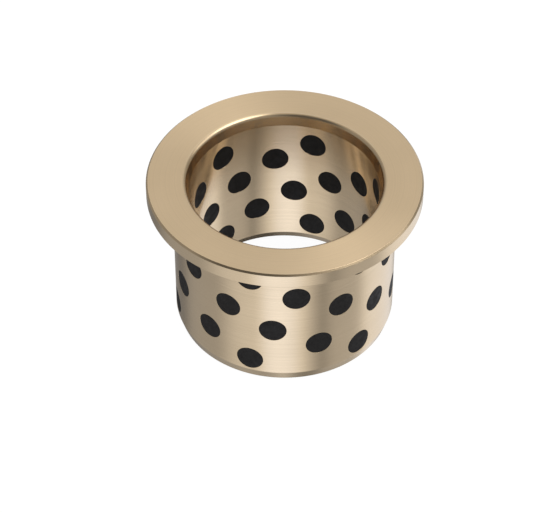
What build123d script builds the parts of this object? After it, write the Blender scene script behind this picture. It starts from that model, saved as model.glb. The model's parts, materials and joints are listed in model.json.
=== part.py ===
from build123d import *
import os

# Flanged bronze bushing with graphite plugs pressed through its wall.
# Millimetres. The bore runs along +Z, the origin is the centre of the sleeve's
# bottom end, and the flange is at the top.

# Turned body
BORE_DIAMETER = 55.0
SLEEVE_DIAMETER = 65.0
FLANGE_DIAMETER = 80.0
FLANGE_THICKNESS = 5.0
LENGTH = 50.0  # flange included

# Edges of the body. A lead-in is a shallow cone: one at each mouth of the bore, which guides the
# shaft, and one round the sleeve's bottom end, which guides the sleeve into its housing.
TOP_LEAD_IN_DEPTH = 3.5
TOP_LEAD_IN_WIDTH = 1.2
TOP_EDGE_RADIUS = 1.6  # where the top lead-in meets the flange's face
BOTTOM_LEAD_IN_DEPTH = 3.0
BOTTOM_LEAD_IN_WIDTH = 1.5
SLEEVE_LEAD_IN_DEPTH = 3.0
SLEEVE_LEAD_IN_WIDTH = 0.9
FLANGE_CHAMFER = 0.5
CORNER_RADIUS = 0.5  # between the sleeve and the flange's underside

# Plugs, in level rows that each turn on from the row above
PLUG_DIAMETER = 8.0
PLUG_ROWS = 6
PLUGS_PER_ROW = 6
FIRST_ROW_DEPTH = 10.3  # from the flange's face to the centres of the top row
ROW_PITCH = 6.4
ROW_TURN = 24.0  # degrees, anticlockwise seen from above
FIRST_PLUG_ANGLE = 71.8  # degrees from +X

BORE_RADIUS = BORE_DIAMETER / 2
SLEEVE_RADIUS = SLEEVE_DIAMETER / 2
FLANGE_RADIUS = FLANGE_DIAMETER / 2
FLANGE_UNDERSIDE = LENGTH - FLANGE_THICKNESS


def ring_profile():
    """Half section of the turned body, on the XZ plane, X being the radius."""
    corner = (SLEEVE_RADIUS, FLANGE_UNDERSIDE)
    top_edge = (BORE_RADIUS + TOP_LEAD_IN_WIDTH, LENGTH)
    outline = Polyline(
        (BORE_RADIUS + BOTTOM_LEAD_IN_WIDTH, 0),
        (SLEEVE_RADIUS - SLEEVE_LEAD_IN_WIDTH, 0),
        (SLEEVE_RADIUS, SLEEVE_LEAD_IN_DEPTH),
        corner,
        (FLANGE_RADIUS - FLANGE_CHAMFER, FLANGE_UNDERSIDE),
        (FLANGE_RADIUS, FLANGE_UNDERSIDE + FLANGE_CHAMFER),
        (FLANGE_RADIUS, LENGTH - FLANGE_CHAMFER),
        (FLANGE_RADIUS - FLANGE_CHAMFER, LENGTH),
        top_edge,
        (BORE_RADIUS, LENGTH - TOP_LEAD_IN_DEPTH),
        (BORE_RADIUS, BOTTOM_LEAD_IN_DEPTH),
        close=True,
    )
    section = make_face(outline)
    for point, radius in ((corner, CORNER_RADIUS), (top_edge, TOP_EDGE_RADIUS)):
        section = fillet(section.vertices().sort_by_distance(point)[0], radius)
    return Plane.XZ * section


def plug_places():
    """The node name and the location of every plug, from the top row down."""
    for row in range(PLUG_ROWS):
        height = LENGTH - FIRST_ROW_DEPTH - row * ROW_PITCH
        for place in range(PLUGS_PER_ROW):
            angle = FIRST_PLUG_ANGLE + row * ROW_TURN + place * 360 / PLUGS_PER_ROW
            name = f"graphite_plug_row{row + 1}_{place + 1}"
            yield name, Pos(0, 0, height) * Rot(0, 0, angle)


def plug_blank():
    """A rod along +X from the axis to past the sleeve's wall."""
    rod = Cylinder(PLUG_DIAMETER / 2, SLEEVE_RADIUS + 1, align=(Align.CENTER, Align.CENTER, Align.MIN))
    return Rot(0, 90, 0) * rod


def bushing_body():
    """The turned ring, drilled right through the wall for every plug."""
    holes = [place * plug_blank() for _, place in plug_places()]
    return revolve(ring_profile(), Axis.Z) - holes


def graphite_plug():
    """One plug along +X, with ends turned flush with the bore and the sleeve."""
    wall = Cylinder(SLEEVE_RADIUS, 2 * PLUG_DIAMETER) - Cylinder(BORE_RADIUS, 2 * PLUG_DIAMETER)
    return plug_blank() & wall


def save(shape, name):
    shape.label = name
    export_step(shape, f"parts/{name}.step")


os.makedirs("parts", exist_ok=True)
save(bushing_body(), "bushing_body")
plug = graphite_plug()
for node, place in plug_places():
    save(place * plug, node)
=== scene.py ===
"""Looks of a flanged bronze bushing with graphite plugs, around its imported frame. Metres, +Z up."""

import json
import math

import bmesh
import bpy
import numpy as np
from mathutils import Matrix, Vector, noise
from mathutils.geometry import delaunay_2d_cdt


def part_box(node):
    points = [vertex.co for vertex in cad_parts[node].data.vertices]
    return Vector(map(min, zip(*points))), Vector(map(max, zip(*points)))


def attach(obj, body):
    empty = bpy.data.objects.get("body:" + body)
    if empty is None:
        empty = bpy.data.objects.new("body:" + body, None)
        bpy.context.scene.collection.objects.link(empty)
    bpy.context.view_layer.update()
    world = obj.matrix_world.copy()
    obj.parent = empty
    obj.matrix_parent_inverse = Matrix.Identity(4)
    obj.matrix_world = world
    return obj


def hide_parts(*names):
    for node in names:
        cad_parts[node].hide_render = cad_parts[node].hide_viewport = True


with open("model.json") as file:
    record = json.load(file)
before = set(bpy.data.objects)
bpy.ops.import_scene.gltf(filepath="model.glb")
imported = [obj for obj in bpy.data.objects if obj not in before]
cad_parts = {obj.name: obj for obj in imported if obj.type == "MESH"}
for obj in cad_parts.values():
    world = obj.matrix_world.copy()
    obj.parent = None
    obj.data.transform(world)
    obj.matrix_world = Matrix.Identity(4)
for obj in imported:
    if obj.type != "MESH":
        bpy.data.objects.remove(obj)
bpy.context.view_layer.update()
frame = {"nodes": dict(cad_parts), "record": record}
MM = 0.001

# ---------------------------------------------------------------- sizes, from the frame

mounts = {m["name"]: m for m in frame["record"]["mounts"]}


def round_wall(name):
    """Radius, lowest height and highest height of a round mount's wall."""
    mount = mounts[name]
    middle = mount["pos_m"][2]
    half = mount["dims"]["length_mm"] * MM / 2
    return mount["dims"]["r_mm"] * MM, middle - half, middle + half


BORE_R, BORE_LOW, BORE_HIGH = round_wall("shaft_bore")
SLEEVE_R, SLEEVE_LOW, SLEEVE_HIGH = round_wall("housing_fit")
FLANGE_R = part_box("bushing_body")[1].x
TOP = mounts["thrust_face"]["pos_m"][2]
UNDERSIDE = mounts["flange_seat"]["pos_m"][2]
CORNER_ROUND = UNDERSIDE - SLEEVE_HIGH

# Edge sizes that no mount states. The small ones are breaks and gaps too fine for the CAD.
TOP_LEAD_IN_WIDTH = 1.2 * MM
BOTTOM_LEAD_IN_WIDTH = 1.5 * MM
SLEEVE_LEAD_IN_WIDTH = 0.9 * MM
FLANGE_CHAMFER = 0.5 * MM
TOP_EDGE_ROUND = 1.6 * MM
EDGE_BREAK = 0.12 * MM  # a turned edge is never quite sharp
CONE_BLEND = 0.6 * MM  # where a lead-in runs out into the bore or the sleeve
RIM_BREAK = 0.05 * MM  # the bronze edge round each plug
PLUG_RECESS = 0.03 * MM
PLUG_GAP = 0.02 * MM  # between a plug's side and its hole
PLUG_EDGE_ROUND = 0.08 * MM
PLUG_RELIEF = ((1400, 0.006 * MM), (5200, 0.004 * MM))  # uneven ends: noise scale per metre, and depth

# Mesh fineness
SEGMENTS = 360
BEND_STEP = math.radians(12)
LONGEST_STEP = 1.5 * MM  # along a turned outline
SHEET_MARGIN = 0.35 * MM  # of plain wall left to the turned ends, above and below the drilled sheet
GRID = 1.1 * MM
BORDER_GAP = 0.25 * MM
RIM_POINTS = 64
RIM_BREAK_STEPS = 3
# Rings of points round each hole, as (distance from its rim, points, turn in parts of a step)
HALOS = ((0.35 * MM, 64, 0.5), (0.85 * MM, 48, 0.0), (1.6 * MM, 36, 0.5))
PLUG_SPOKES = 48
PLUG_RINGS = 12
PLUG_EDGE_BENDS = (30, 60, 90)  # degrees round a plug's softened edge
MERGE_DISTANCE = 1e-7
INSIDE_ONLY = 1  # delaunay_2d_cdt's output type for the triangles that the edges enclose
CDT_EPSILON = 1e-5


def plug_axis(node):
    """Angle round the bore, height, and radius of a plug, from its CAD solid."""
    low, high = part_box(node)
    points = frame["nodes"][node].data.vertices
    x = sum(v.co.x for v in points) / len(points)
    y = sum(v.co.y for v in points) / len(points)
    return math.atan2(y, x), (low.z + high.z) / 2, (high.z - low.z) / 2


PLUGS = {node: plug_axis(node) for node in frame["nodes"] if node.startswith("graphite_plug")}
ROWS = max(int(node.split("row")[1].split("_")[0]) for node in PLUGS)
PER_ROW = len(PLUGS) // ROWS
HOLE_R = PLUGS["graphite_plug_row1_1"][2]
SECTOR = 2 * math.pi / PER_ROW


# ---------------------------------------------------------------- mesh helpers

class Shell:
    """Points with normals, and faces, gathered from several sheets and merged into one mesh."""

    def __init__(self):
        self.points, self.normals, self.faces = [], [], []

    def add(self, points, normals, faces):
        start = len(self.points)
        self.points += [tuple(p) for p in points]
        self.normals += [tuple(n) for n in normals]
        self.faces += [tuple(start + i for i in face) for face in faces]

    def build(self, name, material):
        mesh = bpy.data.meshes.new(name)
        mesh.from_pydata(self.points, [], self.faces)
        kept = mesh.attributes.new("true_normal", "FLOAT_VECTOR", "POINT")
        kept.data.foreach_set("vector", np.array(self.normals, np.float32).ravel())
        work = bmesh.new()
        work.from_mesh(mesh)
        bmesh.ops.remove_doubles(work, verts=work.verts, dist=MERGE_DISTANCE)
        work.to_mesh(mesh)
        work.free()
        normals = np.zeros(len(mesh.vertices) * 3, np.float32)
        mesh.attributes["true_normal"].data.foreach_get("vector", normals)
        mesh.attributes.remove(mesh.attributes["true_normal"])
        mesh.polygons.foreach_set("use_smooth", [True] * len(mesh.polygons))
        mesh.normals_split_custom_set_from_vertices(normals.reshape(-1, 3))
        mesh.materials.append(material)
        piece = bpy.data.objects.new(name, mesh)
        bpy.context.scene.collection.objects.link(piece)
        return piece


def rounded_outline(corners):
    """Points and left-hand normals, as (radius, height) pairs. A corner is (radius, height, rounding)."""
    line = []
    where = [Vector(c[:2]) for c in corners]
    for i, corner in enumerate(corners):
        before = (where[i] - where[i - 1]).normalized() if i else None
        after = (where[i + 1] - where[i]).normalized() if i + 1 < len(corners) else None
        if before is None or after is None:
            way = after or before
            line.append((where[i], Vector((-way.y, way.x))))
            continue
        turn = math.atan2(before.cross(after), before.dot(after))
        reach = corner[2] * math.tan(abs(turn) / 2)
        start = where[i] - before * reach
        side = math.copysign(1, turn)
        centre = start + Vector((-before.y, before.x)) * side * corner[2]
        count = max(2, math.ceil(abs(turn) / BEND_STEP))
        for k in range(count + 1):
            a = turn * k / count
            normal = Vector((-before.y, before.x))
            normal = Vector((normal.x * math.cos(a) - normal.y * math.sin(a),
                             normal.x * math.sin(a) + normal.y * math.cos(a)))
            line.append((centre - normal * side * corner[2], normal))
    fine = [line[0]]
    for (p, n), (q, m) in zip(line, line[1:]):
        count = max(1, math.ceil((q - p).length / LONGEST_STEP))
        fine += [(p.lerp(q, k / count), n.lerp(m, k / count).normalized()) for k in range(1, count + 1)]
    return fine


def turned(shell, corners):
    """Adds the surface that an outline sweeps round the bore's axis."""
    line = rounded_outline(corners)
    points, normals = [], []
    for p, n in line:
        for k in range(SEGMENTS):
            c, s = math.cos(2 * math.pi * k / SEGMENTS), math.sin(2 * math.pi * k / SEGMENTS)
            points.append((p.x * c, p.x * s, p.y))
            normals.append((n.x * c, n.x * s, n.y))
    faces = []
    for ring in range(len(line) - 1):
        for k in range(SEGMENTS):
            here, there = ring * SEGMENTS, (ring + 1) * SEGMENTS
            following = (k + 1) % SEGMENTS
            faces.append((here + k, there + k, there + following, here + following))
    shell.add(points, normals, faces)


def hole_ring(hole_radius, wall_radius, count=RIM_POINTS, shift=0.0):
    """Where a hole of that radius meets a wall: (angle from the hole's axis, height from it) pairs."""
    ring = []
    for k in range(count):
        a = 2 * math.pi * (k + shift) / count
        across = hole_radius * math.cos(a)
        ring.append((math.asin(across / wall_radius), hole_radius * math.sin(a)))
    return ring


def drilled_wall(shell, radius, low, high, outward):
    """Adds a round wall with a hole for every plug. One sector, with one slanting line of holes, is
    triangulated flat and then repeated round the axis."""
    line = [PLUGS[f"graphite_plug_row{row + 1}_1"] for row in range(ROWS)]
    first_angle, first_height, _ = line[0]
    second_angle, second_height, _ = line[1]
    # Radians that the line of holes turns for each metre down
    turn = ((second_angle - first_angle) % (2 * math.pi)) / (first_height - second_height)
    centres = [(first_angle + turn * (first_height - z), z) for _, z, _ in line]
    unit = 2 * math.pi / SEGMENTS

    def seam(height):
        """Angle of the sector's left side, which ends on the turned surfaces' own points."""
        sides = [first_angle + turn * (first_height - z) - SECTOR / 2 for z in (low, high)]
        ends = [round(side / unit) * unit for side in sides]
        return ends[0] + (ends[1] - ends[0]) * (height - low) / (high - low)

    columns = SEGMENTS // PER_ROW
    levels = math.ceil((high - low) / GRID)
    border = [(seam(low) + k * unit, low) for k in range(columns)]
    border += [(seam(low + (high - low) * k / levels) + SECTOR, low + (high - low) * k / levels)
               for k in range(levels)]
    border += [(seam(high) + k * unit, high) for k in range(columns, 0, -1)]
    border += [(seam(low + (high - low) * k / levels), low + (high - low) * k / levels)
               for k in range(levels, 0, -1)]
    points = list(border)
    edges = [(k, (k + 1) % len(border)) for k in range(len(border))]
    rim = HOLE_R + RIM_BREAK
    for angle, height in centres:
        start = len(points)
        points += [(angle + a, height + z) for a, z in hole_ring(rim, radius)]
        edges += [(start + k, start + (k + 1) % RIM_POINTS) for k in range(RIM_POINTS)]

    def clear_of_border(angle, height, gap):
        left = (angle - seam(height)) * radius
        return (low + gap < height < high - gap) and gap < left < SECTOR * radius - gap

    for growth, count, shift in HALOS:
        outer = rim + growth
        for angle, height in centres:
            for a, z in hole_ring(outer, radius, count, shift):
                if clear_of_border(angle + a, height + z, BORDER_GAP):
                    points.append((angle + a, height + z))
    row_step = GRID * math.sqrt(3) / 2
    for j in range(1, int((high - low) / row_step)):
        height = low + j * row_step
        for i in range(int(SECTOR * radius / GRID) + 1):
            angle = seam(height) + (i + 0.5 * (j % 2)) * GRID / radius
            apart = min(math.hypot(radius * math.sin(angle - a), height - z) for a, z in centres)
            if apart > outer + 0.6 * GRID and clear_of_border(angle, height, 0.5 * GRID):
                points.append((angle, height))

    flat = [Vector((angle * radius, height)) / MM for angle, height in points]
    found, _, triangles, *_ = delaunay_2d_cdt(flat, edges, [], INSIDE_ONLY, CDT_EPSILON)
    found = [p * MM for p in found]
    kept = []
    for triangle in triangles:
        middle = sum((found[i] for i in triangle), Vector((0, 0))) / 3
        apart = min(math.hypot(radius * math.sin(middle.x / radius - a), middle.y - z) for a, z in centres)
        if apart > rim * 0.999:
            kept.append(triangle if outward else triangle[::-1])
    side = 1 if outward else -1
    for sector in range(PER_ROW):
        angles = [p.x / radius + sector * SECTOR for p in found]
        shell.add([(radius * math.cos(a), radius * math.sin(a), p.y) for a, p in zip(angles, found)],
                  [(side * math.cos(a), side * math.sin(a), 0) for a in angles], kept)


def hole_lining(shell, angle, height):
    """Adds the inside of one plug's hole, with both its edges broken."""
    stations = []
    for wall, side in ((SLEEVE_R, 1), (BORE_R, -1)):
        rings = []
        for k in range(RIM_BREAK_STEPS + 1):
            a = math.pi / 2 * k / RIM_BREAK_STEPS
            growth = RIM_BREAK * (1 - math.sin(a))
            sink = RIM_BREAK * (1 - math.cos(a))
            rings.append((HOLE_R + growth, wall, side * sink, math.cos(a) * side, math.sin(a)))
        stations += rings if side > 0 else rings[::-1]
    points, normals, faces = [], [], []
    turn = Matrix.Rotation(angle, 3, "Z")
    lift = Vector((0, 0, height))
    for hole_radius, wall, sink, out, inward in stations:
        for k in range(RIM_POINTS):
            a = 2 * math.pi * k / RIM_POINTS
            across, up = hole_radius * math.cos(a), hole_radius * math.sin(a)
            along = math.sqrt(wall ** 2 - across ** 2)
            wall_out = Vector((along, across, 0)) / wall
            here = Vector((along, across, up)) - wall_out * sink
            normal = (wall_out * out - Vector((0, math.cos(a), math.sin(a))) * inward).normalized()
            points.append(turn @ here + lift)
            normals.append(turn @ normal)
    for ring in range(len(stations) - 1):
        for k in range(RIM_POINTS):
            here, there = ring * RIM_POINTS, (ring + 1) * RIM_POINTS
            following = (k + 1) % RIM_POINTS
            faces.append((here + k, here + following, there + following, there + k))
    shell.add(points, normals, faces)


# ---------------------------------------------------------------- materials

def node_material(name):
    material = bpy.data.materials.new(name)
    material.use_nodes = True
    return material, material.node_tree, material.node_tree.nodes["Principled BSDF"]


def add_node(tree, kind, **settings):
    node = tree.nodes.new(kind)
    for key, value in settings.items():
        setattr(node, key, value)
    return node


def math_node(tree, operation, a, b=None):
    node = add_node(tree, "ShaderNodeMath", operation=operation)
    for socket, value in zip(node.inputs, (a, b)):
        if isinstance(value, bpy.types.NodeSocket):
            tree.links.new(value, socket)
        elif value is not None:
            socket.default_value = value
    return node.outputs[0]


def remap(tree, value, low, high, to_low, to_high, smooth=False):
    node = add_node(tree, "ShaderNodeMapRange", interpolation_type="SMOOTHSTEP" if smooth else "LINEAR")
    tree.links.new(value, node.inputs["Value"])
    for socket, number in (("From Min", low), ("From Max", high), ("To Min", to_low), ("To Max", to_high)):
        node.inputs[socket].default_value = number
    return node.outputs["Result"]


def noise_node(tree, vector, scale, detail=2.0, roughness=0.5):
    node = add_node(tree, "ShaderNodeTexNoise")
    tree.links.new(vector, node.inputs["Vector"])
    node.inputs["Scale"].default_value = scale
    node.inputs["Detail"].default_value = detail
    node.inputs["Roughness"].default_value = roughness
    return node.outputs["Fac"]


# Bronze
DARK_BRONZE = (0.765, 0.6, 0.393, 1)
LIGHT_BRONZE = (0.835, 0.655, 0.432, 1)
FEED_SCALE = 2600  # scales of the noise, per metre
BAND_SCALE = 350
DRIFT_SCALE = 60
MARKS_SHARE = 0.6  # of the change in colour that follows the turning marks
BORED_ROUGHNESS = 0.22  # of the bore, the sleeve and every steep face
FACED_ROUGHNESS = 0.38  # of the flat faces, which are cut with a coarser feed
ROUGHNESS_DRIFT = 0.012
FACE_SLOPE = (0.9, 0.99)  # height of the normal, from a steep face to a flat one
MARK_DEPTH = 0.0015 * MM
SHEEN_STRETCH = 0.8
QUARTER_TURN = 0.25

# Graphite
DARK_GRAPHITE = (0.005, 0.0044, 0.004, 1)
LIGHT_GRAPHITE = (0.016, 0.0142, 0.0128, 1)
GRAIN_SCALE = 2600
BLOTCH_SCALE = 500
GRAIN_DEPTH = 0.02 * MM

# Floor
FLOOR_GLOW = 0.95


def bronze_material():
    """Turned bronze: fine rings from the tool's feed, a sheen stretched across them, and colour drift."""
    material, tree, shader = node_material("turned_bronze")
    place = add_node(tree, "ShaderNodeTexCoord").outputs["Object"]
    split = add_node(tree, "ShaderNodeSeparateXYZ")
    tree.links.new(place, split.inputs[0])
    x, y, z = split.outputs
    radius = math_node(tree, "SQRT", math_node(tree, "ADD", math_node(tree, "MULTIPLY", x, x),
                                               math_node(tree, "MULTIPLY", y, y)))
    rings = add_node(tree, "ShaderNodeCombineXYZ")
    tree.links.new(radius, rings.inputs[0])
    tree.links.new(z, rings.inputs[1])
    feed = noise_node(tree, rings.outputs[0], FEED_SCALE, 2, 0.6)
    bands = noise_node(tree, rings.outputs[0], BAND_SCALE)
    drift = noise_node(tree, place, DRIFT_SCALE, 3)

    colour = add_node(tree, "ShaderNodeMix", data_type="RGBA")
    marks = math_node(tree, "ADD", math_node(tree, "MULTIPLY", feed, MARKS_SHARE),
                      math_node(tree, "MULTIPLY", drift, 1 - MARKS_SHARE))
    tree.links.new(remap(tree, marks, 0.35, 0.65, 0, 1), colour.inputs["Factor"])
    colour.inputs["A"].default_value = DARK_BRONZE
    colour.inputs["B"].default_value = LIGHT_BRONZE
    tree.links.new(colour.outputs["Result"], shader.inputs["Base Color"])

    facing = add_node(tree, "ShaderNodeSeparateXYZ")
    tree.links.new(add_node(tree, "ShaderNodeNewGeometry").outputs["Normal"], facing.inputs[0])
    flat = math_node(tree, "ABSOLUTE", facing.outputs["Z"])
    even = remap(tree, flat, *FACE_SLOPE, BORED_ROUGHNESS, FACED_ROUGHNESS, smooth=True)
    uneven = remap(tree, bands, 0.3, 0.7, -ROUGHNESS_DRIFT, ROUGHNESS_DRIFT)
    rough = math_node(tree, "ADD", even, uneven)
    tree.links.new(rough, shader.inputs["Roughness"])
    bump = add_node(tree, "ShaderNodeBump")
    bump.inputs["Strength"].default_value = 0.25
    bump.inputs["Distance"].default_value = MARK_DEPTH
    tree.links.new(feed, bump.inputs["Height"])
    tree.links.new(bump.outputs[0], shader.inputs["Normal"])
    tangent = add_node(tree, "ShaderNodeTangent", direction_type="RADIAL", axis="Z")
    tree.links.new(tangent.outputs[0], shader.inputs["Tangent"])
    shader.inputs["Metallic"].default_value = 1.0
    shader.inputs["Anisotropic"].default_value = SHEEN_STRETCH
    shader.inputs["Anisotropic Rotation"].default_value = QUARTER_TURN
    return material


def graphite_material():
    """Pressed graphite, cut flush: near black, with a fine grain and a dull shine."""
    material, tree, shader = node_material("pressed_graphite")
    place = add_node(tree, "ShaderNodeTexCoord").outputs["Object"]
    grain = noise_node(tree, place, GRAIN_SCALE, 4, 0.65)
    blotch = noise_node(tree, place, BLOTCH_SCALE)
    colour = add_node(tree, "ShaderNodeMix", data_type="RGBA")
    tree.links.new(remap(tree, grain, 0.35, 0.7, 0, 1), colour.inputs["Factor"])
    colour.inputs["A"].default_value = DARK_GRAPHITE
    colour.inputs["B"].default_value = LIGHT_GRAPHITE
    tree.links.new(colour.outputs["Result"], shader.inputs["Base Color"])
    tree.links.new(remap(tree, blotch, 0.3, 0.7, 0.5, 0.7), shader.inputs["Roughness"])
    bump = add_node(tree, "ShaderNodeBump")
    bump.inputs["Strength"].default_value = 0.4
    bump.inputs["Distance"].default_value = GRAIN_DEPTH
    tree.links.new(grain, bump.inputs["Height"])
    tree.links.new(bump.outputs[0], shader.inputs["Normal"])
    shader.inputs["Specular IOR Level"].default_value = 0.16
    return material


def floor_material():
    """A white sweep lit from behind, so the object hardly shades it."""
    material, tree, shader = node_material("lit_floor")
    shader.inputs["Base Color"].default_value = (0.08, 0.08, 0.08, 1)
    shader.inputs["Roughness"].default_value = 1.0
    shader.inputs["Specular IOR Level"].default_value = 0.0
    shader.inputs["Emission Color"].default_value = (1, 1, 1, 1)
    shader.inputs["Emission Strength"].default_value = FLOOR_GLOW
    return material


# ---------------------------------------------------------------- the object

def bronze_body(material):
    """The turned and drilled ring, as one closed mesh."""
    shell = Shell()
    turned(shell, [
        (BORE_R, BORE_HIGH - SHEET_MARGIN, 0),
        (BORE_R, BORE_HIGH, CONE_BLEND),
        (BORE_R + TOP_LEAD_IN_WIDTH, TOP, TOP_EDGE_ROUND),
        (FLANGE_R - FLANGE_CHAMFER, TOP, EDGE_BREAK),
        (FLANGE_R, TOP - FLANGE_CHAMFER, EDGE_BREAK),
        (FLANGE_R, UNDERSIDE + FLANGE_CHAMFER, EDGE_BREAK),
        (FLANGE_R - FLANGE_CHAMFER, UNDERSIDE, EDGE_BREAK),
        (SLEEVE_R, UNDERSIDE, CORNER_ROUND),
        (SLEEVE_R, SLEEVE_HIGH - SHEET_MARGIN, 0),
    ])
    drilled_wall(shell, SLEEVE_R, SLEEVE_LOW + SHEET_MARGIN, SLEEVE_HIGH - SHEET_MARGIN, outward=True)
    turned(shell, [
        (SLEEVE_R, SLEEVE_LOW + SHEET_MARGIN, 0),
        (SLEEVE_R, SLEEVE_LOW, CONE_BLEND),
        (SLEEVE_R - SLEEVE_LEAD_IN_WIDTH, 0, EDGE_BREAK),
        (BORE_R + BOTTOM_LEAD_IN_WIDTH, 0, EDGE_BREAK),
        (BORE_R, BORE_LOW, CONE_BLEND),
        (BORE_R, BORE_LOW + SHEET_MARGIN, 0),
    ])
    drilled_wall(shell, BORE_R, BORE_LOW + SHEET_MARGIN, BORE_HIGH - SHEET_MARGIN, outward=False)
    for angle, height, _ in PLUGS.values():
        hole_lining(shell, angle, height)
    piece = shell.build("bronze_body", material)
    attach(piece, "root")
    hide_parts("bushing_body")
    return piece


def plug_piece(node, material):
    """One graphite plug: a rod across the wall whose ends follow the sleeve and the bore."""
    angle, height, _ = PLUGS[node]
    plug_r = HOLE_R - PLUG_GAP
    edge, spokes, rings = PLUG_EDGE_ROUND, PLUG_SPOKES, PLUG_RINGS
    cosine, sine = math.cos(angle), math.sin(angle)

    def place(along, across, up):
        return Vector((along * cosine - across * sine, along * sine + across * cosine, up + height))

    def end_point(wall, side, reach, a, depth):
        across, up = reach * math.cos(a), reach * math.sin(a)
        along = math.sqrt(wall ** 2 - across ** 2) - side * (PLUG_RECESS + depth)
        spot = place(along, across, up)
        relief = sum(noise.noise(spot * scale) * most for scale, most in PLUG_RELIEF)
        return place(along - side * abs(relief), across, up)

    points, faces = [], []
    for wall, side in ((SLEEVE_R, 1), (BORE_R, -1)):
        start = len(points)
        points.append(end_point(wall, side, 0, 0, 0))
        for ring in range(1, rings + 1):
            reach = (plug_r - edge) * ring / rings
            points += [end_point(wall, side, reach, 2 * math.pi * k / spokes, 0) for k in range(spokes)]
        for bend in PLUG_EDGE_BENDS:
            a = math.radians(bend)
            reach = plug_r - edge + edge * math.sin(a)
            points += [end_point(wall, side, reach, 2 * math.pi * k / spokes, edge * (1 - math.cos(a)))
                       for k in range(spokes)]
        for k in range(spokes):
            following = (k + 1) % spokes
            fan = (start, start + 1 + k, start + 1 + following)
            faces.append(fan if side > 0 else fan[::-1])
            for ring in range(rings + 2):
                a, b = start + 1 + ring * spokes, start + 1 + (ring + 1) * spokes
                quad = (a + k, b + k, b + following, a + following)
                faces.append(quad if side > 0 else quad[::-1])
    half = len(points) // 2
    for k in range(spokes):
        following = (k + 1) % spokes
        outer, inner = half - spokes, 2 * half - spokes
        faces.append((outer + k, inner + k, inner + following, outer + following))
    mesh = bpy.data.meshes.new(node.replace("graphite_plug", "plug"))
    mesh.from_pydata(points, [], faces)
    mesh.polygons.foreach_set("use_smooth", [True] * len(mesh.polygons))
    mesh.materials.append(material)
    piece = bpy.data.objects.new(mesh.name, mesh)
    bpy.context.scene.collection.objects.link(piece)
    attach(piece, "root")
    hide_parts(node)
    return piece


# ---------------------------------------------------------------- stage

# Tall soft lights all round, as (azimuth, half width, softness, brightness), in degrees
TALL_LIGHTS = (
    (182, 24, 20, 0.10),
    (247, 31, 22, 0.47),
    (274, 22, 16, 0.42),
    (338, 18, 12, 0.20),
    (33, 33, 10, 0.64),
)
DIM_WALLS = 0.30

# Round lights above, as (azimuth, elevation, inner, outer, brightness): two wide ones and two small ones
ROUND_LIGHTS = (
    (88, 42, 14, 48, 0.34),
    (88, 82, 14, 50, 0.32),
    (345, 60, 6, 24, 2.35),
    (12, 38, 4, 22, 0.85),
)

# Dark patches, as (azimuth, elevation, inner, outer, what is left of the light): one to the left of the
# camera, two below, where the object stands in its own shadow, and one low behind it
DARK_PATCHES = (
    (240, 36, 14, 42, 0.3),
    (58, -73, 10, 17, 0),
    (270, -78, 8, 22, 0.5),
    (130, -44, 3, 15, 0.65),
)

# The floor, and the shade that reflections see on it
FLOOR_REACH = 6.0
SHADE_HEIGHT = 0.1 * MM
SHADE_CENTRE = (0, 9 * MM, 0)
SHADE_FADE = (15 * MM, 27 * MM)
SHADE_COLOUR = (0.45, 0.4, 0.35, 1)
SHADE_POINTS = 90

# What the camera and the matt surfaces see of the world, and the colours of the light that mirrors see
BACKDROP = 1.15
LOW_LIGHT_COLOUR = (1, 1.02, 1.07, 1)
BRIGHT_LIGHT_COLOUR = (0.99, 1.06, 1.24, 1)
HIGH_LIGHT_COLOUR = (0.99, 0.968, 0.94, 1)
BRIGHT_FROM, BRIGHT_TO = 0.85, 1.1

# Camera
LENS = 153.6
CAMERA_ELEVATION = math.radians(43.9)
CAMERA_DISTANCE = 0.6963
AIM = Vector((-2.82 * MM, 0, TOP - 31.15 * MM))


def make_floor():
    reach = FLOOR_REACH
    mesh = bpy.data.meshes.new("floor")
    corners = [(-reach, -reach, 0), (reach, -reach, 0), (reach, reach, 0), (-reach, reach, 0)]
    mesh.from_pydata(corners, [], [(0, 1, 2, 3)])
    mesh.materials.append(floor_material())
    floor = bpy.data.objects.new("floor", mesh)
    bpy.context.scene.collection.objects.link(floor)
    floor.visible_glossy = False


def make_contact_shade():
    """Darkens what the bore mirrors of the floor near its own wall. Seen by reflections only."""
    material = bpy.data.materials.new("contact_shade")
    material.use_nodes = True
    tree = material.node_tree
    tree.nodes.remove(tree.nodes["Principled BSDF"])
    place = add_node(tree, "ShaderNodeTexCoord").outputs["Object"]
    reach = add_node(tree, "ShaderNodeVectorMath", operation="DISTANCE")
    tree.links.new(place, reach.inputs[0])
    reach.inputs[1].default_value = SHADE_CENTRE
    clear = add_node(tree, "ShaderNodeBsdfTransparent")
    tint = add_node(tree, "ShaderNodeMix", data_type="RGBA")
    fade = remap(tree, reach.outputs["Value"], *SHADE_FADE, 0, 1, smooth=True)
    tree.links.new(fade, tint.inputs["Factor"])
    tint.inputs["A"].default_value = (1, 1, 1, 1)
    tint.inputs["B"].default_value = SHADE_COLOUR
    tree.links.new(tint.outputs["Result"], clear.inputs["Color"])
    tree.links.new(clear.outputs[0], tree.nodes["Material Output"].inputs["Surface"])
    mesh = bpy.data.meshes.new("contact_shade")
    rim = [(BORE_R * math.cos(a), BORE_R * math.sin(a), SHADE_HEIGHT)
           for a in (2 * math.pi * k / SHADE_POINTS for k in range(SHADE_POINTS))]
    mesh.from_pydata(rim, [], [range(SHADE_POINTS)])
    mesh.materials.append(material)
    shade = bpy.data.objects.new("contact_shade", mesh)
    bpy.context.scene.collection.objects.link(shade)
    shade.visible_camera = False
    shade.visible_diffuse = False
    shade.visible_shadow = False


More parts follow.
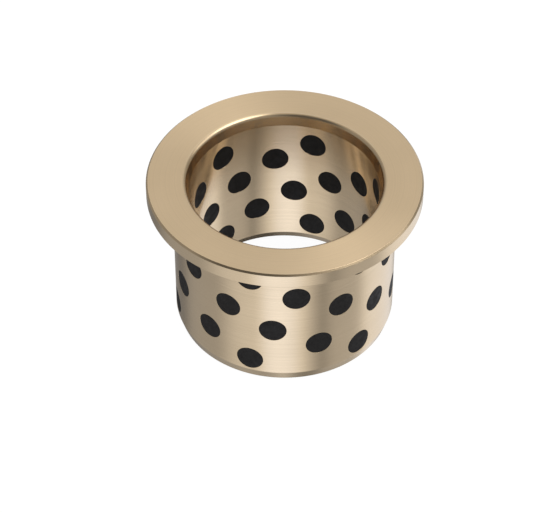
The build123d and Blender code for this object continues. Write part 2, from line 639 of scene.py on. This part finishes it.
def soft_strip(tree, flat_x, flat_y, azimuth, half_width, softness, strength):
    """Brightness of a tall soft light at that azimuth, for a level direction (flat_x, flat_y)."""
    a = math.radians(azimuth)
    toward = math_node(tree, "ADD", math_node(tree, "MULTIPLY", flat_x, math.cos(a)),
                       math_node(tree, "MULTIPLY", flat_y, math.sin(a)))
    outer = math.cos(math.radians(min(half_width + softness, 179)))
    inner = math.cos(math.radians(max(half_width - softness, 1)))
    return remap(tree, toward, outer, inner, 0, strength, smooth=True)


def soft_disc(tree, way, azimuth, elevation, inner, outer, centre_value, outside_value):
    """A round soft light, or shade, about a direction: its centre's value within inner degrees, and the
    outside's value past outer degrees."""
    a, e = math.radians(azimuth), math.radians(elevation)
    dot = add_node(tree, "ShaderNodeVectorMath", operation="DOT_PRODUCT")
    tree.links.new(way, dot.inputs[0])
    dot.inputs[1].default_value = (math.cos(a) * math.cos(e), math.sin(a) * math.cos(e), math.sin(e))
    return remap(tree, dot.outputs["Value"], math.cos(math.radians(outer)), math.cos(math.radians(inner)),
                 outside_value, centre_value, smooth=True)


def make_world():
    """A soft studio: tall lights that fade out upwards, dim walls, round lights and dark patches."""
    world = bpy.data.worlds.new("studio")
    bpy.context.scene.world = world
    world.use_nodes = True
    tree = world.node_tree
    background = tree.nodes["Background"]
    way = add_node(tree, "ShaderNodeTexCoord").outputs["Generated"]
    split = add_node(tree, "ShaderNodeSeparateXYZ")
    tree.links.new(way, split.inputs[0])
    x, y, z = split.outputs
    level = math_node(tree, "SQRT", math_node(tree, "ADD", math_node(tree, "MULTIPLY", x, x),
                                              math_node(tree, "MULTIPLY", y, y)))
    level = math_node(tree, "MAXIMUM", level, 1e-4)
    flat_x, flat_y = math_node(tree, "DIVIDE", x, level), math_node(tree, "DIVIDE", y, level)
    light = None
    for strip in TALL_LIGHTS:
        glow = soft_strip(tree, flat_x, flat_y, *strip)
        light = glow if light is None else math_node(tree, "ADD", light, glow)
    light = math_node(tree, "MULTIPLY", light, remap(tree, z, -0.3, 0.02, 1, 0, smooth=True))
    light = math_node(tree, "ADD", light, DIM_WALLS)
    for disc in ROUND_LIGHTS:
        light = math_node(tree, "ADD", light, soft_disc(tree, way, *disc, 0))
    for disc in DARK_PATCHES:
        light = math_node(tree, "MULTIPLY", light, soft_disc(tree, way, *disc, 1))
    path = add_node(tree, "ShaderNodeLightPath")
    plain = math_node(tree, "MAXIMUM", path.outputs["Is Camera Ray"], path.outputs["Is Diffuse Ray"])
    pick = add_node(tree, "ShaderNodeMix", data_type="FLOAT")
    tree.links.new(plain, pick.inputs["Factor"])
    tree.links.new(light, pick.inputs["A"])
    pick.inputs["B"].default_value = BACKDROP
    tree.links.new(pick.outputs["Result"], background.inputs["Strength"])
    tint = add_node(tree, "ShaderNodeMix", data_type="RGBA")
    tree.links.new(math_node(tree, "MULTIPLY", math_node(tree, "SUBTRACT", 1.0, plain),
                             remap(tree, z, -0.2, 0.3, 0, 1, smooth=True)), tint.inputs["Factor"])
    glare = add_node(tree, "ShaderNodeMix", data_type="RGBA")
    tree.links.new(remap(tree, light, BRIGHT_FROM, BRIGHT_TO, 0, 1), glare.inputs["Factor"])
    glare.inputs["A"].default_value = LOW_LIGHT_COLOUR
    glare.inputs["B"].default_value = BRIGHT_LIGHT_COLOUR
    tree.links.new(glare.outputs["Result"], tint.inputs["A"])
    tint.inputs["B"].default_value = HIGH_LIGHT_COLOUR
    tree.links.new(tint.outputs["Result"], background.inputs["Color"])


def make_camera():
    """In front of the object and well above it, with a long lens."""
    lens = bpy.data.cameras.new("camera")
    lens.sensor_width = 36
    lens.lens = LENS
    lens.clip_start = 0.01
    lens.clip_end = 50
    camera = bpy.data.objects.new("camera", lens)
    back = Vector((0, -math.cos(CAMERA_ELEVATION), math.sin(CAMERA_ELEVATION)))
    camera.location = AIM + back * CAMERA_DISTANCE
    camera.rotation_euler = (math.pi / 2 - CAMERA_ELEVATION, 0, 0)
    bpy.context.scene.collection.objects.link(camera)
    bpy.context.scene.camera = camera


bpy.context.scene.view_settings.view_transform = "Standard"
bpy.context.scene.cycles.glossy_bounces = 12
bronze, graphite = bronze_material(), graphite_material()
bronze_body(bronze)
for plug_node in sorted(PLUGS):
    plug_piece(plug_node, graphite)
make_floor()
make_contact_shade()
make_world()
make_camera()
